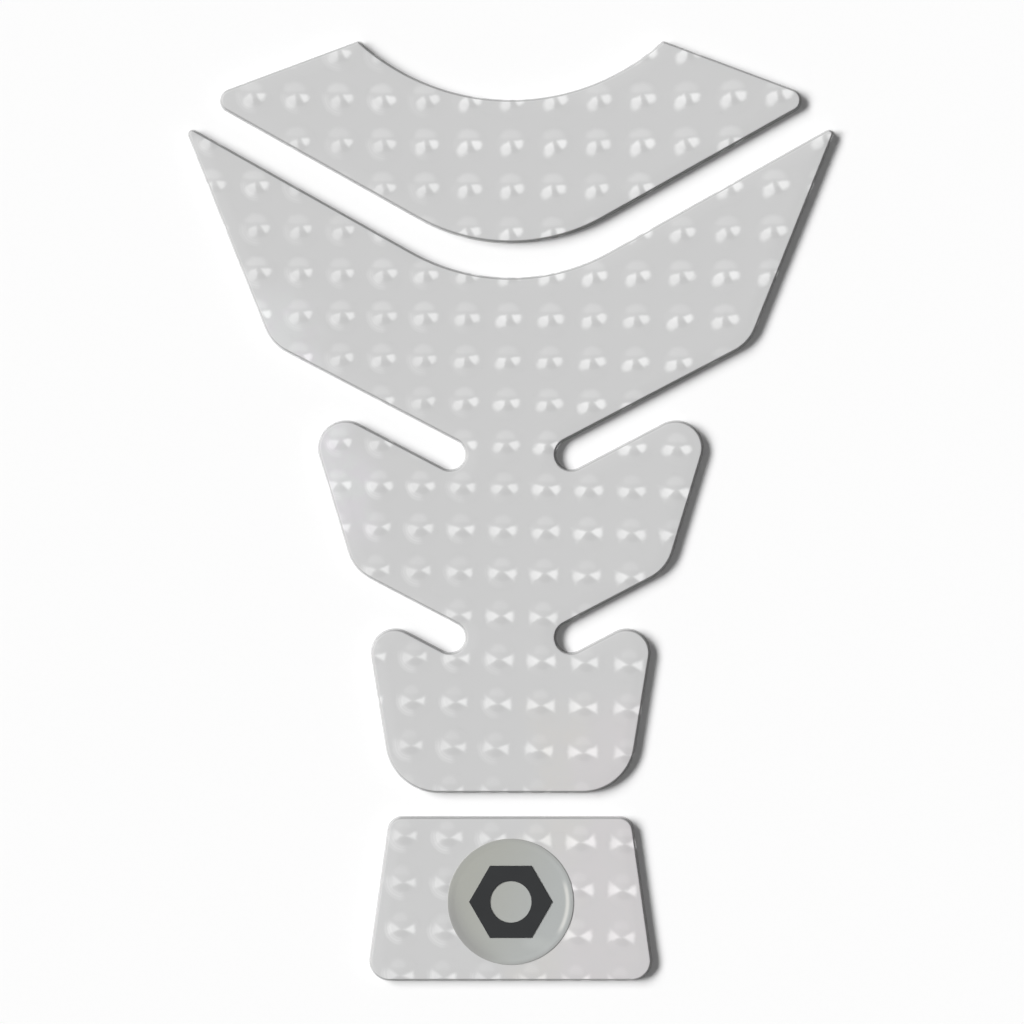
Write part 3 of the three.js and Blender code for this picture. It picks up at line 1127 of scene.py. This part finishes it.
def object_from(name: str, points: np.ndarray, faces: list, slots: list[int]) -> bpy.types.Object:
    """Makes an object from points in millimetres, and tidies its mesh.

    Args:
        name: the object's name.
        points: the points.
        faces: the faces, as lists of places in points.
        slots: the material slot of each face.

    Returns:
        The object, smooth but for its sharp edges.
    """
    mesh = bpy.data.meshes.new(name)
    mesh.from_pydata((points * MM).tolist(), [], faces)
    mesh.polygons.foreach_set("material_index", slots)
    work = bmesh.new()
    work.from_mesh(mesh)
    bmesh.ops.remove_doubles(work, verts=work.verts, dist=WELD * MM)
    bmesh.ops.dissolve_degenerate(work, edges=work.edges, dist=SLIVER * MM)
    bmesh.ops.recalc_face_normals(work, faces=work.faces)
    open_edges = sum(1 for edge in work.edges if not edge.is_manifold)
    work.to_mesh(mesh)
    work.free()
    mesh.polygons.foreach_set("use_smooth", [True] * len(mesh.polygons))
    mesh.set_sharp_from_angle(angle=math.radians(SHARP_ANGLE))
    LOG.info("%s: %d faces, %d open edges", name, len(mesh.polygons), open_edges)
    return add_object(name, mesh)


def filled(border: np.ndarray, loose: np.ndarray) -> list[list[int]]:
    """Fills a flat outline with triangles.

    Args:
        border: the outline's points.
        loose: more points inside it.

    Returns:
        The triangles, as places in border followed by loose.
    """
    count = len(border)
    points = [Vector(point) for point in np.concatenate([border, loose])]
    edges = [(i, (i + 1) % count) for i in range(count)]
    found = delaunay_2d_cdt(points, edges, [], 1, FILL_GRAIN)
    first = [min(sources) for sources in found[3]]
    return [[first[i] for i in face] for face in found[2]]


def settle(
    piece: bpy.types.Object, node: str, slot: Slot, *materials: bpy.types.Material
) -> bpy.types.Object:
    """Gives a piece its materials and puts it in the frame.

    Args:
        piece: the piece.
        node: the node of the solids that it stands for.
        slot: the record's slot of its finish; not used.
        materials: its materials, in the order of its mesh's slots.

    Returns:
        The piece.
    """
    for material in materials:
        piece.data.materials.append(material)
    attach(piece, "root")
    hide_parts(node)
    return piece


@dataclass
class DomedPad(ABC):
    """A die-cut pad: film with adhesive on its back and domed resin on its face."""

    name: str = ""
    origin_y: float = MAIN_PAD_Y
    lay: FilmLay = MAIN_LAY
    dome: Dome = field(default_factory=Dome)
    spot_radius: float = 3.7
    spot_height: float = 0.07
    edge_fade: float = 1.2
    grid_step: float = 0.62
    grid_gap: float = 0.6
    bare_y: float = 0.0
    bare_radius: float = 0.0
    bare_fade: float = 0.8

    @abstractmethod
    def corners(self) -> list[Corner]:
        """Lists the outline's corners, in the pad's own heights."""

    def relief(self, points: np.ndarray, depth: np.ndarray) -> np.ndarray:
        """Gives how far the spots stand above the face.

        Args:
            points: points of the face, in the frame.
            depth: their distances inside the outline.

        Returns:
            The heights of the spots there.
        """
        away = self.lay.from_spot(points[:, 0], points[:, 1])
        slope = np.clip(away / self.spot_radius, 0, 1) * math.pi / 2
        height = self.spot_height * np.cos(slope) ** 2
        height *= np.clip((depth - self.dome.rounding) / self.edge_fade, 0, 1)
        if self.bare_radius:
            from_badge = np.hypot(points[:, 0], points[:, 1] - self.bare_y)
            height *= np.clip((from_badge - self.bare_radius) / self.bare_fade, 0, 1)
        return height

    def build(self) -> bpy.types.Object:
        """Makes the pad's mesh.

        Returns:
            The pad.
        """
        corners = [Corner(c.x, c.y + self.origin_y, c.radius) for c in self.corners()]
        outline = Outline(corners)
        rings = [(outline.ring(inset), height) for inset, height in self.dome.rings()]
        border = rings[-1][0]
        count = len(border)
        loose = self._grid(border)
        depth = outline.depth(loose)
        keep = depth > self.dome.rounding + self.grid_gap * self.grid_step
        loose, depth = loose[keep], depth[keep]
        face_height = self.dome.crown(depth) + self.relief(loose, depth)
        points = np.concatenate([stacked(rings), np.column_stack([loose, face_height])])
        faces = joined(len(rings), count)
        top = (len(rings) - 1) * count
        faces += [[top + i for i in face] for face in filled(border, loose)]
        slots = [Face.FILM.value] * len(faces)
        back = filled(rings[0][0], np.empty((0, 2)))
        faces += [list(reversed(face)) for face in back]
        slots += [Face.ADHESIVE.value] * len(back)
        return object_from(f"{self.name}_resin", points, faces, slots)

    def _grid(self, border: np.ndarray) -> np.ndarray:
        """Lays points in a triangle pattern over the box round a ring.

        Args:
            border: the ring.

        Returns:
            The points.
        """
        low, high = border.min(axis=0), border.max(axis=0)
        rise = self.grid_step * math.sqrt(3) / 2
        rows = np.arange(low[1], high[1], rise)
        columns = np.arange(low[0], high[0], self.grid_step)
        x, y = np.meshgrid(columns, rows)
        x[1::2] += self.grid_step / 2
        return np.column_stack([x.ravel(), y.ravel()])

    def dress(self, film: bpy.types.Material, back: bpy.types.Material) -> bpy.types.Object:
        """Builds the pad, with film on its face and edge, and puts it in the frame."""
        return settle(self.build(), self.name, Slot.FILM, film, back)


@dataclass
class MainPad(DomedPad):
    """The long pad with two wings and two slots on each side."""

    name: str = "main_pad"
    channel_angle: float = 29.3
    wing_half_span: float = 72.8
    wing_side_angle: float = 68.2
    wing_tip_radius: float = 1.1
    wing_dip_height: float = 39.3
    wing_dip_radius: float = 45
    spine_width: float = 20.3
    slot_angle: float = 27.6
    slot_width: float = 6.6
    slot_spacing: float = 40.6
    arm_corner_radius: float = 10
    middle_arm_half_width: float = 42.7
    middle_arm_side_angle: float = 73.2
    middle_arm_lobe_radius: float = 6.2
    base_half_width: float = 31.7
    base_side_angle: float = 80.9
    base_lobe_radius: float = 5.4
    base_depth: float = 75.2
    base_corner_radius: float = 12

    def dip(self) -> Pair:
        """Gives where the two upper edges would meet if the dip weren't rounded."""
        rounding = self.wing_dip_radius * (1 / heading(self.channel_angle)[0] - 1)
        return 0.0, self.wing_dip_height - rounding

    def _slot(self, end_height: float) -> tuple[Side, Side, list[Corner]]:
        """Draws a slot of the right side.

        Args:
            end_height: the height of the middle of its round end.

        Returns:
            Its upper edge, its lower edge and the corners of its end.
        """
        half, (cos, sin) = self.slot_width / 2, heading(self.slot_angle)
        x = (self.spine_width + self.slot_width) / 2 - half * cos
        y = end_height - half * sin
        upper = x - half * sin, y + half * cos
        lower = x + half * sin, y - half * cos
        end = [Corner(*upper, half), Corner(*lower, half)]
        return Side(*upper, self.slot_angle), Side(*lower, self.slot_angle), end

    def corners(self) -> list[Corner]:
        """Lists the outline's corners.

        Returns:
            The corners, clockwise from the dip.
        """
        wing_top = Side(*self.dip(), self.channel_angle)
        wing_tip = wing_top.meet(Side(self.wing_half_span, 0, 90))
        wing_side = Side(*wing_tip, self.wing_side_angle)
        upper_top, upper_bottom, upper_end = self._slot(0)
        middle_side = Side(self.middle_arm_half_width, 0, self.middle_arm_side_angle)
        lower_top, lower_bottom, lower_end = self._slot(-self.slot_spacing)
        base_side = Side(self.base_half_width, -self.slot_spacing, self.base_side_angle)
        base = Side(0, -self.base_depth, 0)
        return mirrored([
            Corner(*self.dip(), self.wing_dip_radius),
            Corner(*wing_tip, self.wing_tip_radius),
            Corner(*wing_side.meet(upper_top), self.arm_corner_radius),
            *upper_end,
            Corner(*upper_bottom.meet(middle_side), self.middle_arm_lobe_radius),
            Corner(*middle_side.meet(lower_top), self.arm_corner_radius),
            *lower_end,
            Corner(*lower_bottom.meet(base_side), self.base_lobe_radius),
            Corner(*base_side.meet(base), self.base_corner_radius),
        ])


@dataclass
class UpperPad(DomedPad):
    """The yoke round the filler cap, which follows the main pad's upper edge."""

    name: str = "upper_pad"
    main: MainPad = field(default_factory=MainPad)
    channel_width: float = 7
    half_span: float = 68.3
    top_angle: float = 20.4
    tip_radius: float = 2.7
    belly_radius: float = 42
    waist: float = 31.9
    saddle_radius: float = 50
    saddle_flank_angle: float = 42
    ear_radius: float = 0.7

    def corners(self) -> list[Corner]:
        """Lists the outline's corners.

        Returns:
            The corners, clockwise from the middle of the saddle.
        """
        angle = self.main.channel_angle
        belly_slant = 1 / heading(angle)[0]
        belly_y = self.main.dip()[1] + self.channel_width * belly_slant
        belly = Side(0, belly_y, angle)
        saddle_slant = 1 / heading(self.saddle_flank_angle)[0]
        saddle_y = belly_y + self.belly_radius * (belly_slant - 1) + self.waist
        saddle_y -= self.saddle_radius * (saddle_slant - 1)
        flank = Side(0, saddle_y, self.saddle_flank_angle)
        tip = belly.meet(Side(self.half_span, 0, 90))
        top = Side(*tip, 180 - self.top_angle)
        return mirrored([
            Corner(0.0, saddle_y, self.saddle_radius),
            Corner(*flank.meet(top), self.ear_radius),
            Corner(*tip, self.tip_radius),
            Corner(0.0, belly_y, self.belly_radius),
        ])


@dataclass
class LowerPad(DomedPad):
    """The tail pad, which carries the badge."""

    name: str = "lower_pad"
    origin_y: float = LOWER_PAD_Y
    lay: FilmLay = LOWER_LAY
    bare_y: float = BADGE_Y
    bare_radius: float = 14.1
    height: float = 36.6
    top_half_width: float = 27
    side_angle: float = 82
    top_radius: float = 3.4
    bottom_radius: float = 4.6

    def corners(self) -> list[Corner]:
        """Lists the outline's corners.

        Returns:
            The corners, clockwise from the upper right one.
        """
        half = self.height / 2
        side = Side(self.top_half_width, half, 180 - self.side_angle)
        return mirrored([
            Corner(*side.meet(Side(0, half, 0)), self.top_radius),
            Corner(*side.meet(Side(0, -half, 0)), self.bottom_radius),
        ])


@dataclass
class Badge:
    """The thin round badge with a raised lip, and the hexagon nut printed on its face."""

    centre_y: float = BADGE_Y
    base: float = THICKNESS
    radius: float = 14
    wall: float = 0.07
    lip: float = 0.13
    lip_outer: float = 0.3
    lip_top: float = 0.3
    lip_inner: float = 1.2
    lip_steps: int = 5
    fall_steps: int = 8
    face: float = 0.09
    sides: int = 160
    nut_across_flats: float = 16
    nut_hole_radius: float = 4.6
    nut_height: float = 0.19
    nut_rounding: float = 0.06
    nut_sides: int = 96

    def _profile(self) -> list[Pair]:
        """Draws the badge's section.

        Returns:
            Radius and height, from the wall's foot to the middle of the face.
        """
        inner = self.radius - self.lip_outer - self.lip_top
        section = [(self.radius, 0.0), (self.radius, self.wall)]
        for step in range(1, self.lip_steps + 1):
            across, up = heading(90 * step / self.lip_steps)
            radius = self.radius - self.lip_outer * (1 - across)
            section.append((radius, self.wall + (self.lip - self.wall) * up))
        for step in range(self.fall_steps + 1):
            share = step / self.fall_steps
            height = self.face + (self.lip - self.face) * (1 + math.cos(math.pi * share)) / 2
            section.append((inner - self.lip_inner * share, height))
        return section

    def _lathe(
        self, name: str, rings: list[tuple[np.ndarray, float]], base: float, closed: bool
    ) -> bpy.types.Object:
        """Makes a mesh of rings round the badge's centre.

        Args:
            name: the object's name.
            rings: the points of each round the origin, and its height above the base.
            base: the height of the base.
            closed: whether the last ring joins the first. If not, flat faces close both ends.

        Returns:
            The object.
        """
        points = stacked(rings) + np.array([0, self.centre_y, base])
        count = len(rings[0][0])
        faces = joined(len(rings), count, closed)
        if not closed:
            top = (len(rings) - 1) * count
            faces.append([top + i for i in range(count)])
            faces.append(list(reversed(range(count))))
        return object_from(name, points, faces, [0] * len(faces))

    @staticmethod
    def _circle(sides: int) -> np.ndarray:
        """Lays points on a circle of radius 1, from +X on."""
        turns = np.arange(sides) * 2 * math.pi / sides
        return np.column_stack([np.cos(turns), np.sin(turns)])

    def build_disc(self) -> bpy.types.Object:
        """Makes the badge's mesh.

        Returns:
            The badge.
        """
        circle = self._circle(self.sides)
        rings = [(circle * radius, height) for radius, height in self._profile()]
        return self._lathe("badge_disc", rings, self.base, closed=False)

    def build_nut(self) -> bpy.types.Object:
        """Makes the emblem's mesh, a hexagon with a round hole and softened edges.

        Returns:
            The emblem.
        """
        circle = self._circle(self.nut_sides)
        turns = np.arange(self.nut_sides) * 2 * math.pi / self.nut_sides
        reach = self.nut_across_flats / 2 / np.cos(np.mod(turns, math.pi / 3) - math.pi / 6)
        reach = reach[:, None]
        hole, top, soft = self.nut_hole_radius, self.nut_height, self.nut_rounding
        section = [(reach, 0), (reach, top - soft), (reach - soft, top)]
        section += [(hole + soft, top), (hole, top - soft), (hole, 0)]
        rings = [(circle * radius, height) for radius, height in section]
        return self._lathe("badge_nut", rings, self.base + self.face, closed=True)

    def dress(self, effects: Effects) -> list[bpy.types.Object]:
        """Builds the badge and its emblem, gives them their materials and places them.

        Args:
            effects: the shared groups.

        Returns:
            The badge and the emblem.
        """
        badge_finish = BadgePrintAndPaintedLight(self.centre_y, self.radius).material(effects)
        ink = EmblemInk().material(effects)
        return [
            settle(self.build_disc(), "badge", Slot.BADGE, badge_finish),
            settle(self.build_nut(), "badge_emblem", Slot.EMBLEM, ink),
        ]


@dataclass(frozen=True)
class Lamp:
    """A distant lamp: where it stands in degrees, and how much it lights the table."""

    azimuth: float
    elevation: float
    level: float
    size: float


@dataclass
class Studio:
    """The camera straight above the pads, the lamps, the soft room and the white table."""

    camera_x: float = 0.29
    camera_y: float = -0.22
    camera_height: float = 1002
    face_height: float = THICKNESS
    view_width: float = 227.05
    lamps: tuple[Lamp, ...] = (
        Lamp(166, 38, 0.425, 21),
        Lamp(184, 32, 0.225, 17),
        Lamp(146, 31, 0.225, 17),
    )
    room_level: float = 0.125
    table_half: float = 1500
    table_height: float = -0.02

    def build_camera(self) -> None:
        """Makes the scene's camera, which looks straight down with +Y up in its picture."""
        data = bpy.data.cameras.new("overhead_camera")
        distance = self.camera_height - self.face_height
        data.lens = data.sensor_width * distance / self.view_width
        camera = add_object("overhead_camera", data)
        camera.location = Vector((self.camera_x, self.camera_y, self.camera_height)) * MM
        bpy.context.scene.camera = camera

    def build_light(self) -> None:
        """Makes the row of lamps at the left, which gloss doesn't mirror, and the room's light."""
        for place, lamp in enumerate(self.lamps):
            (east, north), (flat, up) = heading(lamp.azimuth), heading(lamp.elevation)
            data = bpy.data.lights.new(f"lamp_{place}", "SUN")
            data.energy = lamp.level * math.pi / up
            data.angle = math.radians(lamp.size)
            piece = add_object(f"lamp_{place}", data)
            to_lamp = Vector((flat * east, flat * north, up))
            piece.rotation_mode = "QUATERNION"
            piece.rotation_quaternion = (-to_lamp).to_track_quat("-Z", "Y")
            piece.visible_glossy = False
        world = bpy.data.worlds.new("white_room")
        bpy.context.scene.world = world
        world.use_nodes = True
        level = seen_rays(world.node_tree) * (1 - self.room_level) + self.room_level
        background = world.node_tree.nodes["Background"]
        background.inputs["Color"].default_value = (1, 1, 1, 1)
        plug(world.node_tree, level, background.inputs["Strength"])

    def build_table(self) -> None:
        """Makes the table that the pads lie on."""
        half = self.table_half
        corners = np.array([(-half, -half), (half, -half), (half, half), (-half, half)])
        mesh = bpy.data.meshes.new("table")
        points = stacked([(corners, self.table_height)]) * MM
        mesh.from_pydata(points.tolist(), [], [(0, 1, 2, 3)])
        mesh.materials.append(TablePaper().material())
        add_object("table", mesh)


def main() -> None:
    """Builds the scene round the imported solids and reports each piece."""
    logging.basicConfig(level=logging.INFO, format="%(name)s: %(message)s", stream=sys.stdout)
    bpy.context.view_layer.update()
    bpy.context.scene.view_settings.view_transform = "Standard"
    studio = Studio()
    studio.build_camera()
    studio.build_light()
    studio.build_table()
    effects = Effects()
    back = AdhesiveBack().material(effects)
    main_film = EngineTurnedFilm("engine_turned_film", MAIN_LAY).material(effects)
    lower_film = EngineTurnedFilm("engine_turned_film_lower", LOWER_LAY).material(effects)
    for pad, film in ((UpperPad(), main_film), (MainPad(), main_film), (LowerPad(), lower_film)):
        piece = pad.dress(film, back)
        LOG.info("%s stands for %s", piece.name, pad.name)
    for piece in Badge().dress(effects):
        LOG.info("%s is in place", piece.name)
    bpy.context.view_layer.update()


if __name__ == "__main__":
    main()
